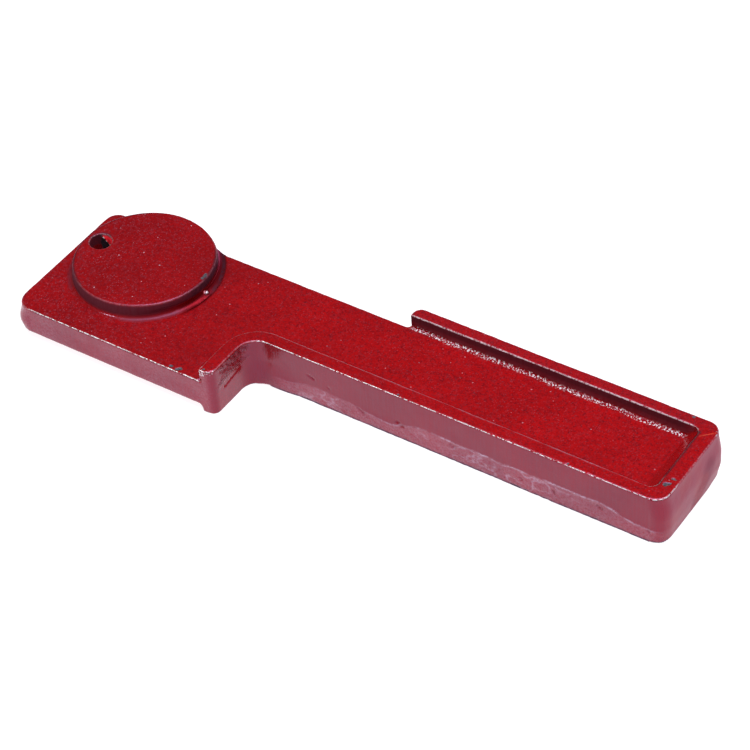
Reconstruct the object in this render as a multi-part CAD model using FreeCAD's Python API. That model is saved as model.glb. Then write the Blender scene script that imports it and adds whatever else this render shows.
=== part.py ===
import FreeCAD, Part
import math
import os

# A hydrant wrench: one iron casting with a flat head, a closed round boss over a pentagon socket, and a
# flat handle with a raised rim above and below its web. A magnet pack sits in the floor of the socket.
# Millimetres. X runs along the handle, away from the head. Y runs across it, and Z is up from the
# surface the wrench lies on. The origin is on the socket's axis, at its mouth.

os.makedirs("parts", exist_ok=True)

V = FreeCAD.Vector
UP = V(0, 0, 1)

# Casting, along X
OVERALL_LENGTH = 330.0
BOSS_SETBACK = 40.1             # head end to the socket's axis
HEAD_LENGTH = 115.6             # head end to the hook's open face
RAIL_SETBACK = 172.0            # head end to the far rail's start
END_RIM_WIDTH = 7.8

# Casting, across Y, from the head's near edge
BOSS_OFFSET = 50.2              # near edge to the socket's axis
HOOK_DEPTH = 30.1               # near edge to the handle's near face
HEAD_WIDTH = 77.8
FAR_FACE = 85.1                 # near edge to the handle's far face
RIM_WIDTH = 7.0
RAIL_WIDTH = 6.4

# Casting, up Z
PLATE_BOTTOM = 4.5
PLATE_TOP = 18.8
TOTAL_HEIGHT = 26.2

# Corners of the plan
NEAR_HEAD_CORNER = 8.7
FAR_HEAD_CORNER = 6.3
HOOK_TIP_CORNER = 4.0
HOOK_THROAT = 10.0              # concave corner between the hook and the handle
HOOK_BACK = 17.2                # rim's inner corner behind the throat
NEAR_END_CORNER = 7.3
FAR_END_CORNER = 6.6
INNER_END_CORNER = 4.0
RAIL_START_CORNER = 4.0
RAIL_FOOT_CORNER = 3.2

# Foundry shape
UPPER_RIM_FILLET = 0.9          # where the upper rim stands on the web
LOWER_RIM_FILLET = 3.4          # where the lower rim stands on the web
UPPER_BOSS_FILLET = 1.6         # where the boss stands on the head, above
LOWER_BOSS_FILLET = 1.6         # where the boss stands on the head, below
BOSS_DRAFT = 9.0                # degrees from the vertical
EDGE_ROUND = 0.5                # cast outer edges
END_RAMP_LENGTH = 7.0           # the upper web's ramp, before the end rim
END_RAMP_DROP = 0.8             # top of the end rim down to where the ramp meets it

# Boss, socket and the hanging hole
BOSS_RADIUS = 33.9
HOLE_RADIUS = 5.45
HOLE_SETBACK = 14.5             # head end to the hole's axis
HOLE_OFFSET = 49.8              # near edge to the hole's axis
NUT_POINT_TO_FLAT = 38.1        # 1 1/2 inch pentagon operating nut
SOCKET_CLEARANCE = 0.6
SOCKET_DEPTH = 14.2
SOCKET_MOUTH_CHAMFER = 1.0

# Magnet pack, from the socket's floor up
CUP_RADIUS = 16.0
CUP_HEIGHT = 5.0
CUP_WALL = 1.8
CUP_BASE = 1.6
MAGNET_RADIUS = 11.8
BUSH_RADIUS = 5.0
SEAL_SECTION = 1.4
COVER_THICKNESS = 1.0
RADIAL_PLAY = 0.05
SCREW_RADIUS = 2.5
SCREW_HEAD_RADIUS = 4.9
SCREW_LENGTH = 10.0
SCREW_HEX_ACROSS_FLATS = 3.0
SCREW_HEX_DEPTH = 2.0
TAPPED_DEPTH = 4.6
THIN_CHAMFER = 0.3

# Places worked out from the sizes above
HEAD_END_X = -BOSS_SETBACK
HOOK_X = HEAD_END_X + HEAD_LENGTH
HOOK_BACK_X = HOOK_X - RIM_WIDTH
RAIL_X = HEAD_END_X + RAIL_SETBACK
HANDLE_END_X = HEAD_END_X + OVERALL_LENGTH
INNER_END_X = HANDLE_END_X - END_RIM_WIDTH
NEAR_EDGE_Y = -BOSS_OFFSET
HANDLE_NEAR_Y = NEAR_EDGE_Y + HOOK_DEPTH
RIM_INNER_Y = HANDLE_NEAR_Y + RIM_WIDTH
HEAD_FAR_Y = NEAR_EDGE_Y + HEAD_WIDTH
HANDLE_FAR_Y = NEAR_EDGE_Y + FAR_FACE
RAIL_INNER_Y = HANDLE_FAR_Y - RAIL_WIDTH
HOLE_X = HEAD_END_X + HOLE_SETBACK
HOLE_Y = NEAR_EDGE_Y + HOLE_OFFSET
COVER_BOTTOM = SOCKET_DEPTH
COVER_TOP = COVER_BOTTOM + COVER_THICKNESS
CUP_TOP = COVER_TOP + CUP_HEIGHT
MAGNET_TOP = CUP_TOP - CUP_BASE
CUP_BORE_RADIUS = CUP_RADIUS - CUP_WALL
PACK_POCKET_RADIUS = CUP_RADIUS + 2 * RADIAL_PLAY


def rounded_outline(corners, z):
    """Closed wire at height z through corners (x, y, radius), each turned by an arc tangent to its sides."""
    stretches = []
    for i, (x, y, radius) in enumerate(corners):
        corner = V(x, y, z)
        before = V(corners[i - 1][0], corners[i - 1][1], z)
        after = V(corners[(i + 1) % len(corners)][0], corners[(i + 1) % len(corners)][1], z)
        back = (before - corner).normalize()
        ahead = (after - corner).normalize()
        half = back.getAngle(ahead) / 2
        bisector = (back + ahead).normalize()
        start = corner + back * (radius / math.tan(half))
        middle = corner + bisector * (radius / math.sin(half) - radius)
        end = corner + ahead * (radius / math.tan(half))
        stretches.append((start, middle, end))
    edges = []
    for i, (start, middle, end) in enumerate(stretches):
        previous_end = stretches[i - 1][2]
        if previous_end.distanceToPoint(start) > 1e-6:
            edges.append(Part.makeLine(previous_end, start))
        if start.distanceToPoint(end) > 1e-6:
            edges.append(Part.Arc(start, middle, end).toShape())
    return Part.Wire(edges)


def slab(corners, bottom, top):
    """Flat slab of the rounded outline between two heights."""
    return Part.Face(rounded_outline(corners, bottom)).extrude(V(0, 0, top - bottom))


def disc(radius, bottom, top, x=0, y=0):
    return Part.makeCylinder(radius, top - bottom, V(x, y, bottom), UP)


def ring(outer, inner, bottom, top):
    return disc(outer, bottom, top).cut(disc(inner, bottom - 1, top + 1))


def outer_circles(shape, radius, heights):
    """Circular edges of one radius about the socket's axis that lie at the given heights."""
    found = []
    for edge in shape.Edges:
        curve = edge.Curve
        if not isinstance(curve, Part.Circle) or abs(curve.Radius - radius) > 1e-4:
            continue
        centre = curve.Center
        if abs(centre.x) < 1e-4 and abs(centre.y) < 1e-4:
            if any(abs(centre.z - height) < 1e-4 for height in heights):
                found.append(edge)
    return found


def plate():
    """Head and handle web, one slab with the hook's corner and the step to the far rail."""
    return slab(
        [
            (HEAD_END_X, NEAR_EDGE_Y, NEAR_HEAD_CORNER),
            (HOOK_X, NEAR_EDGE_Y, HOOK_TIP_CORNER),
            (HOOK_X, HANDLE_NEAR_Y, HOOK_THROAT),
            (HANDLE_END_X, HANDLE_NEAR_Y, NEAR_END_CORNER),
            (HANDLE_END_X, HANDLE_FAR_Y, FAR_END_CORNER),
            (RAIL_X, HANDLE_FAR_Y, RAIL_START_CORNER),
            (RAIL_X, HEAD_FAR_Y, RAIL_FOOT_CORNER),
            (HEAD_END_X, HEAD_FAR_Y, FAR_HEAD_CORNER),
        ],
        PLATE_BOTTOM,
        PLATE_TOP,
    )


def rim(bottom, top):
    """Rim round the hook, the handle's near side, its end and half of its far side."""
    return slab(
        [
            (HOOK_BACK_X, NEAR_EDGE_Y, 0),
            (HOOK_X, NEAR_EDGE_Y, HOOK_TIP_CORNER),
            (HOOK_X, HANDLE_NEAR_Y, HOOK_THROAT),
            (HANDLE_END_X, HANDLE_NEAR_Y, NEAR_END_CORNER),
            (HANDLE_END_X, HANDLE_FAR_Y, FAR_END_CORNER),
            (RAIL_X, HANDLE_FAR_Y, RAIL_START_CORNER),
            (RAIL_X, RAIL_INNER_Y, 0),
            (INNER_END_X, RAIL_INNER_Y, INNER_END_CORNER),
            (INNER_END_X, RIM_INNER_Y, INNER_END_CORNER),
            (HOOK_BACK_X, RIM_INNER_Y, HOOK_BACK),
        ],
        bottom,
        top,
    )


def end_ramp():
    """Ramp from the upper web to the inner side of the end rim."""
    y = RIM_INNER_Y - 1
    foot = V(INNER_END_X - END_RAMP_LENGTH, y, PLATE_TOP)
    head = V(INNER_END_X, y, TOTAL_HEIGHT - END_RAMP_DROP)
    in_rim = V(INNER_END_X + 1, y, head.z)
    below_rim = V(in_rim.x, y, PLATE_TOP - 1)
    below_foot = V(foot.x, y, PLATE_TOP - 1)
    outline = Part.makePolygon([foot, head, in_rim, below_rim, below_foot, foot])
    return Part.Face(outline).extrude(V(0, RAIL_INNER_Y + 1 - y, 0))


def pentagon(point_to_flat, bottom, top):
    """Five-sided prism about the socket's axis, one flat towards the hanging hole."""
    radius = point_to_flat / (1 + math.cos(math.pi / 5))
    turns = [2 * math.pi * i / 5 for i in range(6)]
    corners = [V(radius * math.cos(turn), radius * math.sin(turn), bottom) for turn in turns]
    return Part.Face(Part.makePolygon(corners)).extrude(V(0, 0, top - bottom))


def pentagon_mouth():
    """Lead-in chamfer of the socket, as a five-sided frustum that widens downwards."""
    across = NUT_POINT_TO_FLAT + SOCKET_CLEARANCE
    wide = pentagon(across + 2 * SOCKET_MOUTH_CHAMFER, 0, 1)
    narrow = pentagon(across, SOCKET_MOUTH_CHAMFER, SOCKET_MOUTH_CHAMFER + 1)
    low = min(wide.Faces, key=lambda face: face.CenterOfMass.z).OuterWire
    high = min(narrow.Faces, key=lambda face: face.CenterOfMass.z).OuterWire
    return Part.makeLoft([low, high], True, True)


def socket():
    """Everything the casting is open to from below, about the socket's axis."""
    across = NUT_POINT_TO_FLAT + SOCKET_CLEARANCE
    space = pentagon(across, 0, SOCKET_DEPTH)
    space = space.fuse(pentagon_mouth())
    space = space.fuse(disc(PACK_POCKET_RADIUS, SOCKET_DEPTH - 1, CUP_TOP))
    return space.fuse(disc(SCREW_RADIUS + RADIAL_PLAY, CUP_TOP - 1, CUP_TOP + TAPPED_DEPTH))


def boss_foot(face, away, wall, fillet):
    """Fillet between the boss's drafted wall and one face of the head, as a ring.

    face is the face's height, away is 1 above the plate and -1 below it, and wall is the radius at which
    the drafted wall would reach the face.
    """
    draft = math.radians(BOSS_DRAFT)
    centre_x = wall - fillet * math.tan(draft) + fillet / math.cos(draft)
    to_middle = (math.pi / 2 + draft) / 2
    points = []
    for angle in (draft, to_middle, math.pi / 2):
        up = fillet - fillet * math.sin(angle)
        points.append(V(centre_x - fillet * math.cos(angle), 0, face + away * up))
    inner_top = V(0, 0, points[0].z)
    inner_bottom = V(0, 0, face - away)
    outer_bottom = V(centre_x, 0, face - away)
    outline = Part.Wire([
        Part.Arc(*points).toShape(),
        Part.makeLine(points[2], outer_bottom),
        Part.makeLine(outer_bottom, inner_bottom),
        Part.makeLine(inner_bottom, inner_top),
        Part.makeLine(inner_top, points[0]),
    ])
    return Part.Face(outline).revolve(V(0, 0, 0), UP, 360)


def boss():
    """Round boss over the full height, its wall drafted above the plate and below it."""
    slope = math.tan(math.radians(BOSS_DRAFT))
    widest = BOSS_RADIUS + slope * (TOTAL_HEIGHT - PLATE_TOP)
    upper = Part.makeCone(widest, BOSS_RADIUS, TOTAL_HEIGHT - PLATE_TOP, V(0, 0, PLATE_TOP), UP)
    lower = Part.makeCone(widest - slope * PLATE_BOTTOM, widest, PLATE_BOTTOM)
    body = disc(widest, PLATE_BOTTOM, PLATE_TOP).fuse([upper, lower])
    feet = boss_foot(PLATE_TOP, 1, widest, UPPER_BOSS_FILLET)
    feet = feet.fuse(boss_foot(PLATE_BOTTOM, -1, widest, LOWER_BOSS_FILLET))
    on_head = Part.makeBox(
        -2 * HEAD_END_X, HEAD_FAR_Y - NEAR_EDGE_Y, TOTAL_HEIGHT, V(HEAD_END_X, NEAR_EDGE_Y, 0)
    )
    return body.fuse(feet.common(on_head))


def lies_level(edge, heights):
    """True for an edge that lies flat at one of the given heights."""
    box = edge.BoundBox
    flat = box.ZMax - box.ZMin < 1e-4
    return flat and any(abs(box.ZMax - height) < 1e-4 for height in heights)


def on_rim_foot(edge, height):
    """True for the inner edges where a rim stands on the handle's web at one height."""
    if not lies_level(edge, [height]):
        return False
    middle = edge.valueAt((edge.FirstParameter + edge.LastParameter) / 2)
    inside_x = HOOK_BACK_X - 1e-4 < middle.x < INNER_END_X + 1e-4
    inside_y = NEAR_EDGE_Y - 1e-4 < middle.y < RAIL_INNER_Y + 1e-4
    return inside_x and inside_y


def wrench_casting():
    body = plate()
    body = body.fuse([rim(PLATE_TOP, TOTAL_HEIGHT), rim(0, PLATE_BOTTOM)])
    body = body.removeSplitter()
    for fillet, height in ((UPPER_RIM_FILLET, PLATE_TOP), (LOWER_RIM_FILLET, PLATE_BOTTOM)):
        body = body.makeFillet(fillet, [edge for edge in body.Edges if on_rim_foot(edge, height)])
    body = body.fuse([boss(), end_ramp()]).removeSplitter()
    ends = [edge for edge in body.Edges if lies_level(edge, [0, TOTAL_HEIGHT])]
    body = body.makeFillet(EDGE_ROUND, ends)
    body = body.cut(disc(HOLE_RADIUS, -1, TOTAL_HEIGHT + 1, HOLE_X, HOLE_Y))
    return body.cut(socket())


def magnet_cup():
    """Soft steel cup, open downwards, that the magnet's parts sit in."""
    body = disc(CUP_RADIUS, COVER_TOP, CUP_TOP)
    body = body.cut(disc(CUP_BORE_RADIUS, COVER_TOP - 1, MAGNET_TOP))
    body = body.cut(disc(SCREW_RADIUS + RADIAL_PLAY, MAGNET_TOP - 1, CUP_TOP + 1))
    return body.makeChamfer(THIN_CHAMFER, outer_circles(body, CUP_RADIUS, [CUP_TOP]))


def ring_magnet():
    body = ring(MAGNET_RADIUS, BUSH_RADIUS + RADIAL_PLAY, COVER_TOP, MAGNET_TOP)
    return body.makeChamfer(THIN_CHAMFER, outer_circles(body, MAGNET_RADIUS, [COVER_TOP, MAGNET_TOP]))


def magnet_spacer():
    """Brass ring between the magnet and the cup's wall, above the seal."""
    return ring(
        CUP_BORE_RADIUS - RADIAL_PLAY, MAGNET_RADIUS + RADIAL_PLAY, COVER_TOP + SEAL_SECTION, MAGNET_TOP
    )


def countersink(head_radius):
    """90 degree cone of a countersunk head whose wide end is level with the cover's lower face."""
    depth = head_radius - SCREW_RADIUS
    return Part.makeCone(head_radius, SCREW_RADIUS, depth, V(0, 0, COVER_BOTTOM), UP)


def centre_bush():
    """Brass bush that takes the screw's clamp load past the magnet."""
    body = ring(BUSH_RADIUS, SCREW_RADIUS + RADIAL_PLAY, COVER_TOP, MAGNET_TOP)
    return body.cut(countersink(SCREW_HEAD_RADIUS + RADIAL_PLAY))


def cover_seal():
    """O-ring in the space under the spacer, between the magnet and the cup's wall."""
    middle = (CUP_BORE_RADIUS + MAGNET_RADIUS) / 2
    return Part.makeTorus(middle, SEAL_SECTION / 2, V(0, 0, COVER_TOP + SEAL_SECTION / 2), UP)


def magnet_cover():
    body = disc(CUP_RADIUS, COVER_BOTTOM, COVER_TOP)
    body = body.makeChamfer(THIN_CHAMFER, outer_circles(body, CUP_RADIUS, [COVER_BOTTOM]))
    return body.cut(countersink(SCREW_HEAD_RADIUS + RADIAL_PLAY))


def cover_screw():
    """Countersunk screw with a hexagon recess, through the pack into the casting."""
    body = countersink(SCREW_HEAD_RADIUS)
    body = body.fuse(disc(SCREW_RADIUS, COVER_BOTTOM + 1, COVER_BOTTOM + SCREW_LENGTH))
    body = body.removeSplitter()
    tip = outer_circles(body, SCREW_RADIUS, [COVER_BOTTOM + SCREW_LENGTH])
    body = body.makeChamfer(THIN_CHAMFER, tip)
    across_corners = SCREW_HEX_ACROSS_FLATS / math.cos(math.pi / 6)
    turns = [math.pi / 3 * i for i in range(7)]
    corners = [
        V(across_corners / 2 * math.cos(turn), across_corners / 2 * math.sin(turn), COVER_BOTTOM)
        for turn in turns
    ]
    return body.cut(Part.Face(Part.makePolygon(corners)).extrude(V(0, 0, SCREW_HEX_DEPTH)))


def export(name, shape):
    """Write one solid as its own sub-part."""
    solid = shape.Solids[0]
    if len(shape.Solids) != 1 or not solid.isValid():
        raise ValueError(f"{name}: {len(shape.Solids)} solids, valid: {solid.isValid()}")
    solid.exportStep(f"parts/{name}.step")
    box = solid.optimalBoundingBox(True, False)
    print(f"{name:16} {solid.Volume / 1000:9.3f} cm3  z {box.ZMin:6.2f} to {box.ZMax:6.2f}")


for build in (
    wrench_casting,
    magnet_cup,
    ring_magnet,
    magnet_spacer,
    centre_bush,
    cover_seal,
    magnet_cover,
    cover_screw,
):
    export(build.__name__, build())
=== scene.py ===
import itertools
import math

import bpy
import numpy as np
from mathutils import Matrix, Vector

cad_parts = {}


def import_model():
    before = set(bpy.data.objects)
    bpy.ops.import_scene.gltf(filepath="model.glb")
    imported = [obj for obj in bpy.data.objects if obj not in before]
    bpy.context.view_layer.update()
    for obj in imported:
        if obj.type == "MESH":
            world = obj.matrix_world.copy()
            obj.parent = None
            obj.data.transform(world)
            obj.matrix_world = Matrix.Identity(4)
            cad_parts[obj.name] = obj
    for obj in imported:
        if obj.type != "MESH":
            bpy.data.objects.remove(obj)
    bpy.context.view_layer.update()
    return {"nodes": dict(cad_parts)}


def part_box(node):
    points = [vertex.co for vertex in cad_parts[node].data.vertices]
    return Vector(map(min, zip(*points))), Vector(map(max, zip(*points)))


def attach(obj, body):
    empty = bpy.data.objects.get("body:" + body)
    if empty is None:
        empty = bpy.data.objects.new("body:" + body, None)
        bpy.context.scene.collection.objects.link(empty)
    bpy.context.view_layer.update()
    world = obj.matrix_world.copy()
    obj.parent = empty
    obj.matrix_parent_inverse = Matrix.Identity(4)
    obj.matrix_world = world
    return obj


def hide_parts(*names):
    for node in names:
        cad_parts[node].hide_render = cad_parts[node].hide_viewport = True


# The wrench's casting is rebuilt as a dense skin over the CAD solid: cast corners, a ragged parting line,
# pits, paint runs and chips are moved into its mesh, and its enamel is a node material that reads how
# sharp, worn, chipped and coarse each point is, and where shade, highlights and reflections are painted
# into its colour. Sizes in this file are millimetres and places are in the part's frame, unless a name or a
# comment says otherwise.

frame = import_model()

MM = 0.001
SEED = 4711

# Sizes read from the frame
casting_low, casting_high = (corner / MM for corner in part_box("wrench_casting"))
TOP = casting_high.z
HANDLE_END = casting_high.x
HEAD_END = casting_low.x
NEAR_EDGE = casting_low.y
COVER_TOP = (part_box("magnet_cover")[1] / MM).z

# Places on the casting, as in its drawing
HOOK_DEPTH = 30.1
HEAD_LENGTH = 115.6
PLATE_BOTTOM = 4.5
PLATE_TOP = 18.8
RIM_WIDTH = 7.0
BOSS_TOP_RADIUS = 33.9
BOSS_FOOT = 35.1                # the boss's radius where it stands on the head
BOSS_SLOPE = 0.158
END_RIM_WIDTH = 7.8
HOLE_X, HOLE_Y, HOLE_RADIUS = HEAD_END + 14.5, -0.4, 5.45
HOOK_FACE = HEAD_END + HEAD_LENGTH
HANDLE_NEAR = NEAR_EDGE + HOOK_DEPTH
SOCKET_REACH = 22.5             # radius that clears the socket and its mouth

# Round numbers that the masks below start from
RAIL_START = 131                # where the far rail begins, along X
RAIL_FOOT = 28                  # the far rail's inner foot, along Y
WEB_END = 273                   # where the web meets the ramp of the end rim, along X
LONG_WALL = HOOK_FACE + 8       # where the throat gives way to the handle's straight near wall

# Skin
SKIN_VOXEL = 0.5
ROUNDING_PASSES = 1
LIP_PASSES = 4
END_CORNER_PASSES = 4
FOOT_ROUND = 3.6                # the boss's foot on the side of the handle
WAVE_LONG, WAVE_LONG_DEPTH = 34.0, 0.12
WAVE_SHORT, WAVE_SHORT_DEPTH = 6.0, 0.045
EDGE_WAVE, EDGE_LOSS = 2.4, 0.16

# Depths of the details
BAND_STEP, BAND_DEPTH = 0.12, 0.10
FLASH_HEIGHT = 0.14
WRINKLE_DEPTH = 0.20
TORN_DEPTH = 0.36
SEAM_DEPTH = 0.42
RUN_DEPTH = 0.26
RAIL_BEAD_HEIGHT = 0.12
TIP_ROUGHNESS = 0.14
CLEFT_DEPTH = 0.8
NICK_DEPTH = 0.8                # per millimetre of the nick's radius
BEAD_HEIGHT = 0.8
POOL_HEIGHT = 0.7
HOLE_BEAD_RADIUS, HOLE_BEAD_HEIGHT = 1.5, 0.5
CHIP_DEPTH = 0.20
SCRATCH_DEPTH = 0.06

# Nicks in the near side: where each starts and ends as (x, z), and its radius
NICKS = (
    ((107.2, 16.4), (110.4, 14.8), 0.8),
    ((118.0, 13.6), (118.8, 12.8), 0.5),
    ((134.0, 8.4), (137.0, 6.4), 0.8),
    ((155.0, 9.8), (158.0, 7.9), 1.0),
    ((183.2, 9.4), (185.4, 8.3), 0.8),
    ((219.0, 6.8), (220.4, 6.0), 0.7),
    ((236.0, 6.8), (236.6, 6.2), 0.9),
    ((258.0, 9.0), (260.4, 8.1), 0.8),
    ((283.0, 6.9), (284.0, 6.0), 0.6),
)

ENAMEL_BEAD = (35.8, -0.2, PLATE_TOP + 1.0)

# Depth of the pooled enamel's lower edge in the hanging hole, by degrees round the hole from +X, and the
# degrees where a bead hangs on that edge
POOL_TURNS = (40, 71, 95, 112, 125)
POOL_DEPTHS = (5.6, 4.8, 3.6, 1.7, 0.6)
HOLE_BEAD_TURNS = (112, 95, 71)

# Chips in the enamel: centre and radius
CHIPS = (
    ((285.2, -9.1, TOP), 1.25),
    ((286.3, -8.1, TOP), 0.95),
    ((286.1, -4.6, TOP), 0.42),
    ((286.8, -4.4, TOP), 0.42),
    ((287.5, -4.9, TOP), 0.42),
    ((288.0, -5.6, TOP), 0.35),
    ((32.9, 1.9, TOP), 0.9),
    ((33.1, 3.2, TOP), 1.1),
    ((32.7, 4.6, TOP), 0.8),
    ((55.7, -47.9, PLATE_TOP), 1.0),
    ((54.5, -48.9, PLATE_TOP), 0.8),
    ((51.0, -48.4, PLATE_TOP), 0.9),
    ((275.8, 33.6, TOP), 0.8),
    ((70.6, -48.9, TOP), 0.7),
    ((156.0, -18.9, TOP), 0.6),
    ((243.0, -18.9, TOP), 0.6),
)

SCRATCH_START, SCRATCH_END, SCRATCH_RADIUS = (283.7, 24.2, TOP), (288.8, 29.2, TOP), 0.42
SEAM_START, SEAM_END, SEAM_RADIUS = (HOOK_FACE, -41.5, 12.0), (HOOK_FACE, -28.5, 14.6), 1.0


# ---------------------------------------------------------------- numbers on points

def lattice_noise(points, cell, seed):
    """Smooth random values from -1 to 1 at each point, one random value per lattice cell."""
    place = points / cell
    low = np.floor(place).astype(np.int64)
    part = place - low
    part = part * part * (3 - 2 * part)
    total = np.zeros(len(points))
    for corner in itertools.product((0, 1), repeat=3):
        at = low + np.array(corner)
        mixed = at[:, 0] * 73856093 ^ at[:, 1] * 19349663 ^ at[:, 2] * 83492791 ^ (seed * 2654435761)
        mixed = (mixed ^ (mixed >> 13)) * 1274126177
        value = ((mixed ^ (mixed >> 16)) & 0xFFFF) / 32767.5 - 1
        weight = np.prod(np.where(corner, part, 1 - part), axis=1)
        total += value * weight
    return total


def octaves(points, cell, seed, count=3):
    """Noise summed over halving cells."""
    total = np.zeros(len(points))
    for step in range(count):
        total += lattice_noise(points, cell / 2 ** step, seed + step) / 2 ** step
    return total


def rise(values, start, end):
    """0 before start and 1 after end, with a smooth change between them."""
    part = np.clip((values - start) / (end - start), 0, 1)
    return part * part * (3 - 2 * part)


def fall(values, start, end):
    """1 before start and 0 after end, with a smooth change between them."""
    return 1 - rise(values, start, end)


def near(values, target, inner, outer):
    """1 within inner of a target and 0 past outer."""
    return fall(np.abs(values - target), inner, outer)


def bell(values, width):
    return np.exp(-((values / width) ** 2))


def spot(points, centre, radius):
    """1 at a centre, 0 past a radius, round."""
    away = np.linalg.norm(points - np.array(centre), axis=1)
    return fall(away, 0.35 * radius, radius)


def stroke(points, start, end, radius):
    """1 along the line between two points, 0 past a radius from it."""
    start, end = np.array(start, float), np.array(end, float)
    along = np.clip(((points - start) @ (end - start)) / np.sum((end - start) ** 2), 0, 1)
    away = np.linalg.norm(points - start - along[:, None] * (end - start), axis=1)
    return fall(away, 0.3 * radius, radius)


# ---------------------------------------------------------------- skins

class Skin:
    """A dense mesh over a CAD node, as arrays of points and edges."""

    def __init__(self, node, voxel):
        piece = bpy.data.objects.new("skin_source", frame["nodes"][node].data.copy())
        bpy.context.scene.collection.objects.link(piece)
        remesh = piece.modifiers.new("remesh", "REMESH")
        remesh.mode = "VOXEL"
        remesh.voxel_size = voxel * MM
        graph = bpy.context.evaluated_depsgraph_get()
        self.mesh = bpy.data.meshes.new_from_object(piece.evaluated_get(graph))
        bpy.data.objects.remove(piece)
        self.mesh.materials.clear()
        self.points = self.read("vertices", "co", 3) / MM
        self.edges = self.read("edges", "vertices", 2, np.int32)

    def read(self, what, field, width, kind=np.float32):
        items = getattr(self.mesh, what)
        values = np.zeros(len(items) * width, kind)
        items.foreach_get(field, values)
        return values.reshape(-1, width).astype(float if kind == np.float32 else kind)

    def around(self, values):
        """Mean of each point's neighbours."""
        total = np.zeros_like(values)
        count = np.bincount(self.edges.ravel(), minlength=len(self.points))
        for axis in range(values.shape[1]):
            total[:, axis] = np.bincount(
                self.edges[:, 0], values[self.edges[:, 1], axis], len(self.points)
            ) + np.bincount(self.edges[:, 1], values[self.edges[:, 0], axis], len(self.points))
        return total / np.maximum(count, 1)[:, None]

    def relax(self, passes, strength):
        """Move each point towards its neighbours' mean, by a strength per point."""
        for _ in range(passes):
            self.points += (self.around(self.points) - self.points) * strength[:, None]

    def spread(self, values, passes):
        """Smooth one value per point."""
        for _ in range(passes):
            values = 0.5 * values + 0.5 * self.around(values[:, None])[:, 0]
        return values

    def write_points(self):
        self.mesh.vertices.foreach_set("co", (self.points * MM).astype(np.float32).ravel())
        self.mesh.update()

    def normals(self):
        self.write_points()
        return self.read("vertices", "normal", 3)

    def bulge(self, passes):
        """How far each point stands out from its surroundings. Hollows are below 0."""
        normals = self.normals()
        smooth = self.points.copy()
        for _ in range(passes):
            smooth = 0.5 * smooth + 0.5 * self.around(smooth)
        return np.sum((self.points - smooth) * normals, axis=1)

    def attribute(self, name, values):
        layer = self.mesh.attributes.new(name, "FLOAT", "POINT")
        layer.data.foreach_set("value", np.clip(values, 0, 1).astype(np.float32))


# ---------------------------------------------------------------- the casting's skin

def parting_height(x):
    """Height of the ragged parting line along the handle's sides."""
    climb = rise(x, 96, 108) * fall(x, 120, 150)
    hump = rise(x, 150, 168) * fall(x, 258, 281)
    return 6.8 + 3.0 * climb + 4.3 * hump


def mould_swell(points, normals, side):
    """How far the moulds' draft carries the outer walls past the drawing."""
    x, y, z = points.T
    # The head's near corner is rounder and fuller.
    corner = np.clip(2 * normals[:, 0] * normals[:, 1], 0, 1) * fall(x, HEAD_END + 8, HEAD_END + 10)
    corner = corner * fall(y, NEAR_EDGE + 8, NEAR_EDGE + 10)
    corner = corner * fall(z, PLATE_TOP - 9, PLATE_TOP - 0.4)
    swell = 1.9 * corner * (0.5 + 0.5 * rise(z, PLATE_BOTTOM, PLATE_BOTTOM + 5))
    head_wall = fall(y, NEAR_EDGE + 2, NEAR_EDGE + 5) * fall(x, HOOK_FACE - 12, HOOK_FACE - 4)
    swell += 0.5 * head_wall * (1 - corner) * fall(z, PLATE_BOTTOM, PLATE_TOP - 5)
    # The handle's end leans out below its top and tucks in again at its foot.
    end = np.clip(1.2 * normals[:, 0], 0, 1) * rise(x, HANDLE_END - 8, HANDLE_END - 5)
    tucked = 0.45 + 0.5 * rise(y, 18, 30)
    end = end * (1 - tucked * fall(z, 0.3, 9))
    swell += 1.4 * end * fall(z, TOP - 13, TOP - 0.5)
    throat = np.hypot(x - HOOK_FACE - 4, y - HANDLE_NEAR + 1)
    swell += 1.3 * fall(throat, 6, 26) * fall(z, 3, 15) * rise(x, HOOK_FACE + 1, HOOK_FACE + 5)
    long_wall = rise(x, LONG_WALL, LONG_WALL + 14) * fall(y, HANDLE_NEAR + 2, HANDLE_NEAR + 5)
    swell += 0.45 * long_wall * fall(z, 0, 11)
    return swell * side


def widen_foot(points):
    """Round the boss's foot more on the side of the handle: the corner's points move out to a larger arc.
    The boss's rim there moves out a little too."""
    x, y = points[:, 0], points[:, 1]
    reach = np.hypot(x, y)
    height = points[:, 2] - PLATE_TOP
    away = reach - BOSS_FOOT + BOSS_SLOPE * height
    from_centre = np.hypot(away - FOOT_ROUND, height - FOOT_ROUND)
    corner = (away > -0.8) & (away < FOOT_ROUND) & (height < FOOT_ROUND) & (from_centre > FOOT_ROUND)
    share = corner * rise(x, 16, 24) * rise(y, -12, 0) * rise(height, -0.8, -0.2)
    shrink = share * (FOOT_ROUND / np.maximum(from_centre, FOOT_ROUND) - 1)
    points[:, :2] *= (1 + shrink * (away - FOOT_ROUND) / reach)[:, None]
    points[:, 2] += shrink * (height - FOOT_ROUND)
    rim = rise(reach, 28, 33) * fall(away, 0.5, 2.0) * rise(points[:, 0], 14, 28) * rise(height, 2, 5)
    points[:, :2] *= (1 + 0.6 * rim / reach)[:, None]


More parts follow.
